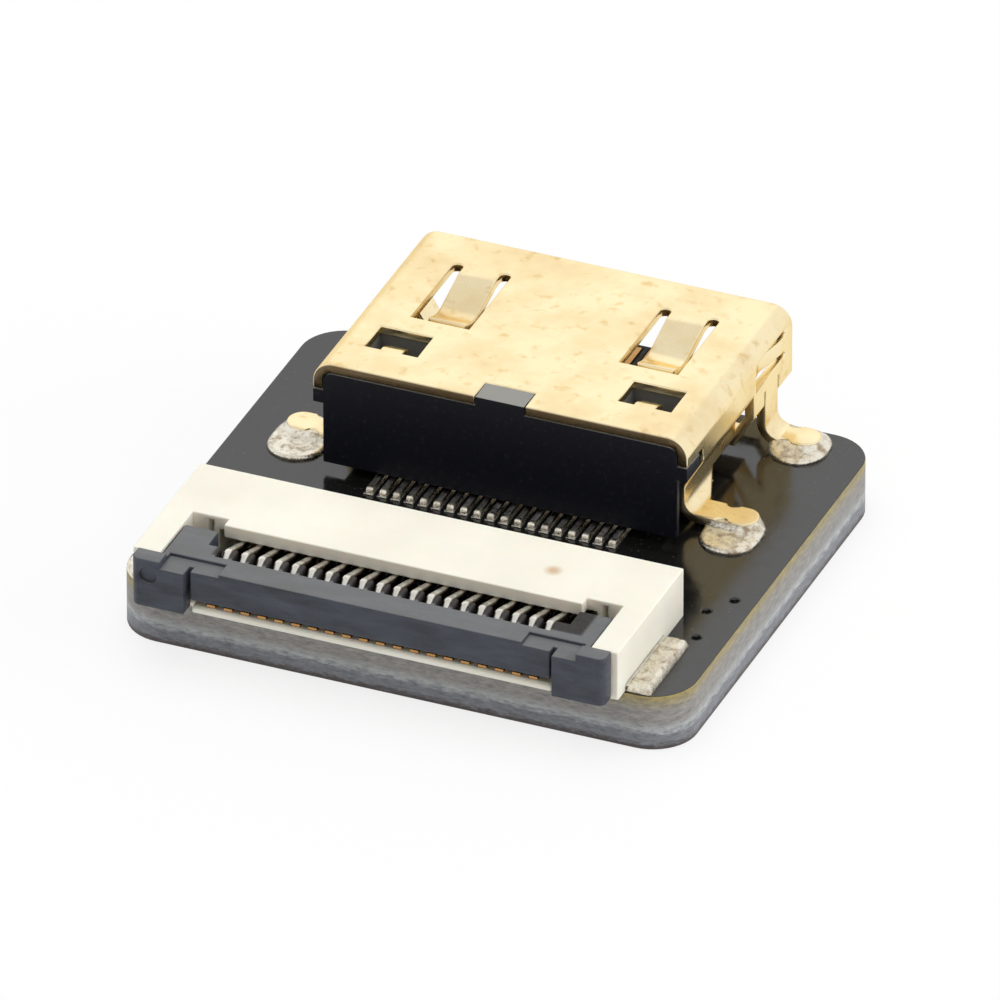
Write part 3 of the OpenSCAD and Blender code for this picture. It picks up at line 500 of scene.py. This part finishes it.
def white_nylon(colours, gate):
    # High-temperature nylon, moulded: off-white and matt with a slight cloudiness, a fine eroded
    # mould texture and one tan gate mark on the top plate
    finish, tree, shader, place = start_finish("white_nylon", 0.55)
    shader.inputs["IOR"].default_value = 1.53
    shader.inputs["Subsurface Weight"].default_value = 0.3
    shader.inputs["Subsurface Radius"].default_value = (1.0, 0.6, 0.35)
    shader.inputs["Subsurface Scale"].default_value = 0.25 * MM
    cloud = put(tree, "ShaderNodeTexNoise", {"Vector": place, "Scale": per_mm(2.6), "Detail": 3.0})
    shade = put(tree, "ShaderNodeMapRange", {
        "Value": cloud.outputs["Fac"], "From Min": 0.35, "From Max": 0.7, "To Min": 0.94, "To Max": 1.03})
    body = put(tree, "ShaderNodeVectorMath", {
        0: colours.white_moulding, 1: shade.outputs[0]}, operation="MULTIPLY")
    away = put(tree, "ShaderNodeVectorMath", {0: place, 1: gate}, operation="DISTANCE")
    spot = put(tree, "ShaderNodeMapRange", {
        "Value": away.outputs["Value"], "From Min": 0.08 * MM, "From Max": 0.3 * MM,
        "To Min": 0.7, "To Max": 0.0})
    tint = put(tree, "ShaderNodeMix", {
        0: spot.outputs[0], 6: body.outputs[0], 7: rgba(colours.gate)}, data_type="RGBA")
    eroded = put(tree, "ShaderNodeTexNoise", {"Vector": place, "Scale": per_mm(0.1), "Detail": 2.0})
    blur = put(tree, "ShaderNodeMapRange", {
        "Value": eroded.outputs["Fac"], "From Min": 0.3, "From Max": 0.7, "To Min": 0.48, "To Max": 0.62})
    relief = put(tree, "ShaderNodeBump", {
        "Height": eroded.outputs["Fac"], "Strength": 0.18, "Distance": 0.008 * MM})
    feed(tree, shader, tint.outputs[2], blur.outputs[0], relief.outputs[0])
    return finish


def slate_nylon(colours, comb, comb_half):
    # Glass-filled nylon, moulded: dark slate with a satin skin, faint flow streaks, painted light that makes
    # upward faces paler, and brown-black painted shade on the comb, which begins at one place along Y
    finish, tree, shader, place = start_finish("slate_nylon", 0.42)
    shader.inputs["IOR"].default_value = 1.55
    shader.inputs["Specular IOR Level"].default_value = 0.2
    drawn = put(tree, "ShaderNodeMapping", {"Vector": place, "Scale": (0.25, 1.0, 1.0)})
    flow = put(tree, "ShaderNodeTexNoise", {
        "Vector": drawn.outputs[0], "Scale": per_mm(0.5), "Detail": 5.0, "Roughness": 0.65})
    pale = put(tree, "ShaderNodeMapRange", {
        "Value": flow.outputs["Fac"], "From Min": 0.35, "From Max": 0.75, "To Min": 0.7, "To Max": 1.5})
    body = put(tree, "ShaderNodeVectorMath", {
        0: colours.slate_moulding, 1: pale.outputs[0]}, operation="MULTIPLY")
    # Painted light: pale grey mixed into the faces that look up
    skin = put(tree, "ShaderNodeMix", {
        0: upward(tree, 0.5, 0.95, 0.31), 6: body.outputs[0], 7: rgba(colours.painted_top_light)}, data_type="RGBA")
    along = put(tree, "ShaderNodeSeparateXYZ", {0: place})
    # Painted shade: the comb, which lies under the housing's roof between the contacts, turns brown-black
    painted_comb_shade = put(tree, "ShaderNodeMapRange", {
        "Value": along.outputs["Y"], "From Min": comb, "From Max": comb + 0.08 * MM,
        "To Min": 0.0, "To Max": 0.9})
    middle = put(tree, "ShaderNodeMath", {0: along.outputs["X"]}, operation="ABSOLUTE")
    between = put(tree, "ShaderNodeMapRange", {
        "Value": middle.outputs[0], "From Min": comb_half, "From Max": comb_half + 0.1 * MM,
        "To Min": 1.0, "To Max": 0.0})
    dark = put(tree, "ShaderNodeMath", {0: painted_comb_shade.outputs[0], 1: between.outputs[0]}, operation="MULTIPLY")
    tint = put(tree, "ShaderNodeMix", {
        0: dark.outputs[0], 6: skin.outputs[2], 7: rgba(colours.comb)}, data_type="RGBA")
    eroded = put(tree, "ShaderNodeTexNoise", {"Vector": place, "Scale": per_mm(0.11), "Detail": 2.0})
    blur = put(tree, "ShaderNodeMapRange", {
        "Value": eroded.outputs["Fac"], "From Min": 0.3, "From Max": 0.7, "To Min": 0.34, "To Max": 0.52})
    relief = put(tree, "ShaderNodeBump", {
        "Height": eroded.outputs["Fac"], "Strength": 0.3, "Distance": 0.01 * MM})
    feed(tree, shader, tint.outputs[2], blur.outputs[0], relief.outputs[0])
    return finish


def plated_strip(colours, gilding, name, axis, gold_at, tin_at, bare_and_shaded_sides=0.0):
    # Phosphor bronze strip, stamped and plated: bright tin at the soldered end, gold where it touches,
    # dull rub marks, and brown bronze on faces that look along X: bare cut edges on the flat socket contacts
    # and painted shade on the plated sides of the ribbon contacts, which stand on edge. The change from tin
    # to gold runs along one axis between two places
    finish, tree, shader, place = start_finish(name, 0.3, 1.0)
    split = put(tree, "ShaderNodeSeparateXYZ", {0: place})
    gilt = put(tree, "ShaderNodeMapRange", {
        "Value": split.outputs[axis], "From Min": tin_at, "From Max": gold_at, "To Min": 0.0, "To Max": 1.0})
    rubbed = put(tree, "ShaderNodeTexNoise", {"Vector": place, "Scale": per_mm(0.22), "Detail": 3.0})
    shade = put(tree, "ShaderNodeMapRange", {
        "Value": rubbed.outputs["Fac"], "From Min": 0.3, "From Max": 0.7, "To Min": 0.78, "To Max": 1.04})
    plate = put(tree, "ShaderNodeMix", {
        0: gilt.outputs[0], 6: rgba(colours.tin), 7: rgba(gilding)}, data_type="RGBA")
    facing = put(tree, "ShaderNodeSeparateXYZ", {0: put(tree, "ShaderNodeTexCoord").outputs["Normal"]})
    across = put(tree, "ShaderNodeMath", {0: facing.outputs["X"]}, operation="ABSOLUTE")
    # Brown bronze on faces that look along X: bare cut edges, and painted shade on the ribbon contacts' sides
    bare_and_shaded_share = put(tree, "ShaderNodeMapRange", {
        "Value": across.outputs[0], "From Min": 0.4, "From Max": 0.75, "To Min": 0.0, "To Max": bare_and_shaded_sides})
    skin = put(tree, "ShaderNodeMix", {
        0: bare_and_shaded_share.outputs[0], 6: plate.outputs[2], 7: rgba(colours.bronze)}, data_type="RGBA")
    tint = put(tree, "ShaderNodeVectorMath", {0: skin.outputs[2], 1: shade.outputs[0]}, operation="MULTIPLY")
    blur = put(tree, "ShaderNodeMapRange", {
        "Value": rubbed.outputs["Fac"], "From Min": 0.3, "From Max": 0.7, "To Min": 0.22, "To Max": 0.42})
    relief = put(tree, "ShaderNodeBump", {
        "Height": rubbed.outputs["Fac"], "Strength": 0.15, "Distance": 0.008 * MM})
    feed(tree, shader, tint.outputs[0], blur.outputs[0], relief.outputs[0])
    return finish


def reflowed_solder(colours, name, flux):
    # Lead-free solder, reflowed: a bright pool with a grainy frosted skin and patches of brown flux,
    # which is a dull film and no metal
    finish, tree, shader, place = start_finish(name, 0.28, 1.0)
    skin = put(tree, "ShaderNodeTexNoise", {
        "Vector": place, "Scale": per_mm(0.3), "Detail": 5.0, "Roughness": 0.66})
    residue = put(tree, "ShaderNodeMapRange", {
        "Value": skin.outputs["Fac"], "From Min": 0.48, "From Max": 0.66, "To Min": 0.0, "To Max": flux})
    tint = put(tree, "ShaderNodeMix", {
        0: residue.outputs[0], 6: rgba(colours.solder), 7: rgba(colours.flux)}, data_type="RGBA")
    bright = put(tree, "ShaderNodeMapRange", {
        "Value": skin.outputs["Fac"], "From Min": 0.46, "From Max": 0.66,
        "To Min": 1.0, "To Max": 1 - 0.6 * flux})
    blur = put(tree, "ShaderNodeMapRange", {
        "Value": skin.outputs["Fac"], "From Min": 0.35, "From Max": 0.7, "To Min": 0.16, "To Max": 0.46})
    tree.links.new(bright.outputs[0], shader.inputs["Metallic"])
    relief = put(tree, "ShaderNodeBump", {
        "Height": skin.outputs["Fac"], "Strength": 0.7, "Distance": 0.07 * MM})
    feed(tree, shader, tint.outputs[2], blur.outputs[0], relief.outputs[0])
    return finish


def black_solder_mask(colours):
    # Black epoxy solder mask over copper: a dark lacquer with an orange-peel skin and grey
    # flecks of dust
    finish, tree, shader, place = start_finish("black_solder_mask", 0.14)
    shader.inputs["IOR"].default_value = 1.6
    peel = put(tree, "ShaderNodeTexNoise", {"Vector": place, "Scale": per_mm(0.45), "Detail": 4.0})
    dust = put(tree, "ShaderNodeTexNoise", {"Vector": place, "Scale": per_mm(0.09), "Detail": 2.0})
    grey = put(tree, "ShaderNodeMapRange", {
        "Value": dust.outputs["Fac"], "From Min": 0.66, "From Max": 0.8, "To Min": 0.0, "To Max": 0.35})
    tint = put(tree, "ShaderNodeMix", {
        0: grey.outputs[0], 6: rgba(colours.mask), 7: rgba(colours.laminate)}, data_type="RGBA")
    blur = put(tree, "ShaderNodeMapRange", {
        "Value": peel.outputs["Fac"], "From Min": 0.3, "From Max": 0.7, "To Min": 0.1, "To Max": 0.2})
    relief = put(tree, "ShaderNodeBump", {
        "Height": peel.outputs["Fac"], "Strength": 0.2, "Distance": 0.01 * MM})
    feed(tree, shader, tint.outputs[2], blur.outputs[0], relief.outputs[0])
    return finish


def routed_laminate(colours, top):
    # Glass and epoxy laminate, cut with a router: short frayed streaks, grey above a pale glass layer
    # and slate below it, a dark line along the bottom and a yellow resin line under the mask
    finish, tree, shader, place = start_finish("routed_laminate", 0.5)
    shader.inputs["IOR"].default_value = 1.55
    layers = put(tree, "ShaderNodeMapping", {"Vector": place, "Scale": (0.3, 0.3, 1.0)})
    frayed = put(tree, "ShaderNodeTexNoise", {
        "Vector": layers.outputs[0], "Scale": per_mm(0.11), "Detail": 5.0, "Roughness": 0.75})
    height = put(tree, "ShaderNodeSeparateXYZ", {0: place})
    ragged = put(tree, "ShaderNodeMath", {
        0: frayed.outputs["Fac"], 1: 0.36 * MM, 2: height.outputs["Z"]}, operation="MULTIPLY_ADD")
    depth = put(tree, "ShaderNodeMapRange", {
        "Value": ragged.outputs[0], "From Min": 0.18 * MM, "From Max": top + 0.18 * MM})
    stack = put(tree, "ShaderNodeValToRGB", {0: depth.outputs[0]})
    stops = stack.color_ramp.elements
    stops[0].color, stops[1].color = rgba(colours.laminate_foot), rgba(colours.resin)
    for place_up, tone in (
            (0.05, colours.laminate_foot), (0.13, colours.laminate_low), (0.26, colours.laminate_low),
            (0.37, colours.laminate_pale), (0.52, colours.laminate), (0.72, colours.laminate)):
        stops.new(place_up).color = rgba(tone)
    shade = put(tree, "ShaderNodeMapRange", {
        "Value": frayed.outputs["Fac"], "From Min": 0.32, "From Max": 0.68, "To Min": 0.55, "To Max": 1.4})
    tint = put(tree, "ShaderNodeVectorMath", {0: stack.outputs[0], 1: shade.outputs[0]}, operation="MULTIPLY")
    blur = put(tree, "ShaderNodeMapRange", {
        "Value": frayed.outputs["Fac"], "From Min": 0.35, "From Max": 0.65, "To Min": 0.35, "To Max": 0.65})
    relief = put(tree, "ShaderNodeBump", {
        "Height": frayed.outputs["Fac"], "Strength": 0.5, "Distance": 0.03 * MM})
    feed(tree, shader, tint.outputs[0], blur.outputs[0], relief.outputs[0])
    return finish


def shown_ray(tree):
    """Output that is 1 for camera, glossy and transmission rays, and 0 for the light on the object."""
    path = put(tree, "ShaderNodeLightPath").outputs
    seen = put(tree, "ShaderNodeMath", {
        0: path["Is Camera Ray"], 1: path["Is Glossy Ray"]}, operation="MAXIMUM")
    return put(tree, "ShaderNodeMath", {
        0: seen.outputs[0], 1: path["Is Transmission Ray"]}, operation="MAXIMUM").outputs[0]


def paper_floor(colours):
    # White paper sweep: shown close to white, with part of its shading kept for the shadow
    finish, tree, shader, _ = start_finish("paper_floor", 0.9)
    shader.inputs["Base Color"].default_value = rgba(colours.floor)
    shader.inputs["Specular IOR Level"].default_value = 0.0
    glow = put(tree, "ShaderNodeEmission", {"Color": (1, 1, 1, 1), "Strength": 1.0})
    share = put(tree, "ShaderNodeMath", {0: shown_ray(tree), 1: 0.8}, operation="MULTIPLY")
    mixed = put(tree, "ShaderNodeMixShader", {0: share.outputs[0], 1: shader.outputs[0], 2: glow.outputs[0]})
    tree.links.new(mixed.outputs[0], tree.nodes["Material Output"].inputs["Surface"])
    return finish


# Operators


class ADAPTER_OT_board(bpy.types.Operator):
    """Board with black mask on its faces and in its holes, and bare laminate on its edges"""

    bl_idname = "adapter.board"
    bl_label = "Board"

    def execute(self, context):
        sizes, colours = context.scene.adapter_sizes, context.scene.adapter_colours
        low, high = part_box("board")
        piece = dress("board", sizes.board_edge, black_solder_mask(colours))
        piece.data.materials.append(routed_laminate(colours, high.z))
        normals = np.empty(len(piece.data.polygons) * 3)
        piece.data.polygons.foreach_get("normal", normals)
        upright = (np.abs(normals.reshape(-1, 3)[:, 2]) < 0.5).astype(np.int32)
        piece.data.polygons.foreach_set("material_index", upright)
        sheets = [
            plated_hole((high.x - h[0], low.y + h[1]), sizes.bore_radius, sizes.bore_plating, low.z, high.z)
            for h in HOLES]
        add_piece("hole_plating", grid_mesh("hole_plating", sheets, around=True),
                  [piece.data.materials[0]])
        return {"FINISHED"}


class ADAPTER_OT_shell(bpy.types.Operator):
    """Folded shell with rounded sheared edges and a gold plate"""

    bl_idname = "adapter.shell"
    bl_label = "Socket shell"

    def execute(self, context):
        sizes, colours = context.scene.adapter_sizes, context.scene.adapter_colours
        gold = gold_plated_sheet(colours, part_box("socket_shell")[0].y)
        dress("socket_shell", sizes.sheet_edge, gold, steps=3)
        return {"FINISHED"}


class ADAPTER_OT_insulator(bpy.types.Operator):
    """Black insulator with its tongue"""

    bl_idname = "adapter.insulator"
    bl_label = "Socket insulator"

    def execute(self, context):
        sizes, colours = context.scene.adapter_sizes, context.scene.adapter_colours
        low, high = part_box("socket_insulator")
        dress("socket_insulator", sizes.mould_edge / 2, black_lcp(colours, low.y, high.z))
        return {"FINISHED"}


class ADAPTER_OT_socket_contacts(bpy.types.Operator):
    """Socket contacts, their pads and the solder along their tails"""

    bl_idname = "adapter.socket_contacts"
    bl_label = "Socket contacts"

    def execute(self, context):
        sizes, colours = context.scene.adapter_sizes, context.scene.adapter_colours
        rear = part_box("socket_insulator")[0].y
        gilt, tinned = rear + 1.0 * MM, rear + 0.6 * MM
        strip = plated_strip(colours, colours.contact_gold, "gold_plated_strip", "Y", gilt, tinned, bare_and_shaded_sides=0.9)
        solder = reflowed_solder(colours, "tail_solder", flux=0.3)
        for node in SOCKET_CONTACTS:
            dress(node, sizes.strip_edge, strip)
        pads = plated_strip(colours, colours.tin, "tinned_pad", "Z", 0.0, 0.1 * MM)
        dress("socket_pads", sizes.strip_edge / 3, pads)
        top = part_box("socket_pads")[1].z
        sheets = []
        for node in SOCKET_CONTACTS:
            low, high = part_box(node)
            tail_low = (low.x, low.y, top)
            tail_high = (high.x, rear + sizes.tail_cover, top)
            sheets.append(tail_solder(tail_low, tail_high, sizes, sizes.tail_toe))
        add_piece("socket_tail_solder", grid_mesh("socket_tail_solder", sheets), [solder])
        return {"FINISHED"}


class ADAPTER_OT_foot_solder(bpy.types.Operator):
    """Solder pools round the shell's four feet"""

    bl_idname = "adapter.foot_solder"
    bl_label = "Foot solder"

    def execute(self, context):
        sizes, colours = context.scene.adapter_sizes, context.scene.adapter_colours
        solder = reflowed_solder(colours, "foot_solder", flux=0.85)
        shell_low, shell_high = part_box("socket_shell")
        half = sizes.leg_width / 2
        for number, foot in enumerate(FEET):
            node = "foot_solder_" + foot
            low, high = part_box(node)
            y = sizes.rear_leg if foot.startswith("rear") else sizes.front_leg
            tip = shell_low.x + half if foot.endswith("left") else shell_high.x - half
            heel = 0.7 * tip
            side = Vector((math.copysign(sizes.wet_reach, tip), 0, 0)) / 2
            grow = Vector((sizes.wet_reach / 2, 0, 0))
            sheet = foot_pool(
                low + side - grow, high + side + grow, (heel, y), (tip, y), half, sizes, 1.7 * number)
            mesh = grid_mesh(node, [sheet], around=True)
            add_piece("finished_" + node, mesh, [solder], replaced=[node])
        return {"FINISHED"}


class ADAPTER_OT_ribbon_housing(bpy.types.Operator):
    """White housing of the ribbon connector"""

    bl_idname = "adapter.ribbon_housing"
    bl_label = "Ribbon housing"

    def execute(self, context):
        sizes, colours = context.scene.adapter_sizes, context.scene.adapter_colours
        low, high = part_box("ribbon_housing")
        # Under the anchors' slots the ends are too thin to be rounded, and the base lies on the board
        skin = Vector([0.01 * MM] * 3)
        under, over = low - skin, high + skin
        ends = [
            ((x - skin.x, under.y, under.z), (x + skin.x, over.y, low.z + sizes.slot_height))
            for x in (low.x, high.x)]
        base = (under, (over.x, over.y, low.z + skin.z))
        nylon = white_nylon(colours, (*GATE, high.z))
        dress("ribbon_housing", sizes.mould_edge, nylon, kept=[*ends, base])
        return {"FINISHED"}


class ADAPTER_OT_slider(bpy.types.Operator):
    """Slate slider that locks the ribbon"""

    bl_idname = "adapter.slider"
    bl_label = "Ribbon slider"

    def execute(self, context):
        sizes, colours = context.scene.adapter_sizes, context.scene.adapter_colours
        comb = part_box("ribbon_slider")[0].y + sizes.comb_start
        nylon = slate_nylon(colours, comb, sizes.comb_half)
        dress("ribbon_slider", sizes.mould_edge, nylon, SLIDING)
        return {"FINISHED"}


class ADAPTER_OT_ribbon_contacts(bpy.types.Operator):
    """Forked ribbon contacts, their pads and the solder along their tails"""

    bl_idname = "adapter.ribbon_contacts"
    bl_label = "Ribbon contacts"

    def execute(self, context):
        sizes, colours = context.scene.adapter_sizes, context.scene.adapter_colours
        housing_low, housing_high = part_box("ribbon_housing")
        base = housing_low.z
        gilt, tinned = base + 0.42 * MM, base + 0.5 * MM
        strip = plated_strip(colours, colours.spring_gold, "tin_plated_spring", "Z", gilt, tinned, bare_and_shaded_sides=0.95)
        solder = reflowed_solder(colours, "tail_solder", flux=0.3)
        crest = (base + sizes.crest_height, sizes.crest_edge)
        for node in RIBBON_CONTACTS:
            dress(node, sizes.strip_edge, strip, crest=crest)
        pads = plated_strip(colours, colours.tin, "tinned_pad", "Z", 0.0, 0.1 * MM)
        dress("ribbon_pads", sizes.strip_edge / 3, pads)
        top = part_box("ribbon_pads")[1].z
        sheets = []
        for node in RIBBON_CONTACTS:
            low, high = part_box(node)
            tail_low = (low.x, housing_high.y + sizes.tail_gap, top)
            tail_high = (high.x, high.y, top)
            sheets.append(tail_solder(tail_low, tail_high, sizes, -sizes.tail_toe))
        add_piece("ribbon_tail_solder", grid_mesh("ribbon_tail_solder", sheets), [solder])
        return {"FINISHED"}


class ADAPTER_OT_anchors(bpy.types.Operator):
    """Tinned anchors of the ribbon housing under a skin of solder"""

    bl_idname = "adapter.anchors"
    bl_label = "Ribbon anchors"

    def execute(self, context):
        sizes, colours = context.scene.adapter_sizes, context.scene.adapter_colours
        strip = plated_strip(colours, colours.tin, "tinned_anchor", "Z", 0.0, 0.1 * MM)
        solder = reflowed_solder(colours, "anchor_solder", flux=0.85)
        board_low, board_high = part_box("board")
        housing_low, housing_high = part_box("ribbon_housing")
        sheets = []
        for side in ("left", "right"):
            node = "ribbon_anchor_" + side
            dress(node, sizes.strip_edge, strip)
            low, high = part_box(node)
            margin, top = sizes.anchor_margin, board_high.z
            span = (low.x - margin, housing_low.x) if side == "left" else (housing_high.x, high.x + margin)
            sheets.append(anchor_blanket(
                (span[0], low.y - margin, top), (span[1], high.y + margin, top),
                board_low, board_high, sizes.board_corner, sizes.anchor_rise, len(sheets)))
        add_piece("finished_anchor_solder", grid_mesh("anchor_solder", sheets), [solder],
                  replaced=["anchor_solder"])
        return {"FINISHED"}


class ADAPTER_OT_stage(bpy.types.Operator):
    """Pale floor, soft light and the camera"""

    bl_idname = "adapter.stage"
    bl_label = "Stage"

    def execute(self, context):
        colours = context.scene.adapter_colours
        reach = np.linspace(-FLOOR_HALF, FLOOR_HALF, 3)
        x, y = np.meshgrid(reach, reach)
        mesh = grid_mesh("floor", [np.stack([x, y, np.full_like(x, -FLOOR_DROP)], axis=-1)])
        mesh.materials.append(paper_floor(colours))
        floor = bpy.data.objects.new("floor", mesh)
        context.scene.collection.objects.link(floor)

        world = bpy.data.worlds.new("soft_room")
        world.use_nodes = True
        tree = world.node_tree
        level = put(tree, "ShaderNodeMapRange", {"Value": shown_ray(tree), "To Min": ROOM_LIGHT, "To Max": 1.0})
        sky = put(tree, "ShaderNodeTexCoord").outputs["Generated"]
        ceiling = put(tree, "ShaderNodeVectorMath", {0: sky, 1: CEILING}, operation="DOT_PRODUCT")
        dim = put(tree, "ShaderNodeMapRange", {
            "Value": ceiling.outputs["Value"], "From Min": CEILING_EDGE, "From Max": CEILING_FULL,
            "To Min": 0.0, "To Max": CEILING_DIM}, interpolation_type="SMOOTHSTEP")
        glossy = put(tree, "ShaderNodeLightPath").outputs["Is Glossy Ray"]
        less = put(tree, "ShaderNodeMath", {0: dim.outputs[0], 1: glossy}, operation="MULTIPLY")
        room = put(tree, "ShaderNodeMath", {0: level.outputs[0], 1: less.outputs[0]}, operation="SUBTRACT")
        tree.links.new(room.outputs[0], tree.nodes["Background"].inputs["Strength"])
        tree.nodes["Background"].inputs["Color"].default_value = (1, 1, 1, 1)
        context.scene.world = world

        for name, place, size, power, mirrored in SOFTBOXES:
            lamp = bpy.data.lights.new(name, "AREA")
            lamp.size = size
            lamp.energy = power
            holder = bpy.data.objects.new(name, lamp)
            holder.location = place
            holder.visible_glossy = mirrored
            holder.rotation_euler = Vector(place).to_track_quat("Z", "Y").to_euler()
            context.scene.collection.objects.link(holder)

        flat = math.cos(CAMERA_LIFT)
        back = Vector((math.sin(CAMERA_TURN) * flat, -math.cos(CAMERA_TURN) * flat, math.sin(CAMERA_LIFT)))
        lens = bpy.data.cameras.new("camera")
        lens.sensor_width = CAMERA_SENSOR
        lens.lens = CAMERA_LENS
        camera = bpy.data.objects.new("camera", lens)
        camera.location = CAMERA_AIM + CAMERA_AWAY * back
        camera.rotation_euler = back.to_track_quat("Z", "Y").to_euler()
        context.scene.collection.objects.link(camera)
        context.scene.camera = camera
        context.scene.view_settings.view_transform = "Standard"
        return {"FINISHED"}


OPERATORS = (
    ADAPTER_OT_board, ADAPTER_OT_shell, ADAPTER_OT_insulator, ADAPTER_OT_socket_contacts,
    ADAPTER_OT_foot_solder, ADAPTER_OT_ribbon_housing, ADAPTER_OT_slider, ADAPTER_OT_ribbon_contacts,
    ADAPTER_OT_anchors, ADAPTER_OT_stage)


class ADAPTER_PT_panel(bpy.types.Panel):
    """Lists the adapter's pieces, sizes and colours"""

    bl_idname = "ADAPTER_PT_panel"
    bl_label = "Adapter"
    bl_space_type = "VIEW_3D"
    bl_region_type = "UI"
    bl_category = "Adapter"

    def draw(self, context):
        for group in (context.scene.adapter_sizes, context.scene.adapter_colours):
            for name in group.bl_rna.properties.keys():
                if name not in ("rna_type", "name"):
                    self.layout.prop(group, name)
        for operator in OPERATORS:
            self.layout.operator(operator.bl_idname)


CLASSES = (AdapterSizes, AdapterColours, *OPERATORS, ADAPTER_PT_panel)


def register():
    for cls in CLASSES:
        bpy.utils.register_class(cls)
    bpy.types.Scene.adapter_sizes = bpy.props.PointerProperty(type=AdapterSizes)
    bpy.types.Scene.adapter_colours = bpy.props.PointerProperty(type=AdapterColours)


def unregister():
    del bpy.types.Scene.adapter_colours
    del bpy.types.Scene.adapter_sizes
    for cls in reversed(CLASSES):
        bpy.utils.unregister_class(cls)


def main():
    register()
    for operator in OPERATORS:
        group, name = operator.bl_idname.split(".")
        getattr(getattr(bpy.ops, group), name)()


if __name__ == "__main__":
    main()
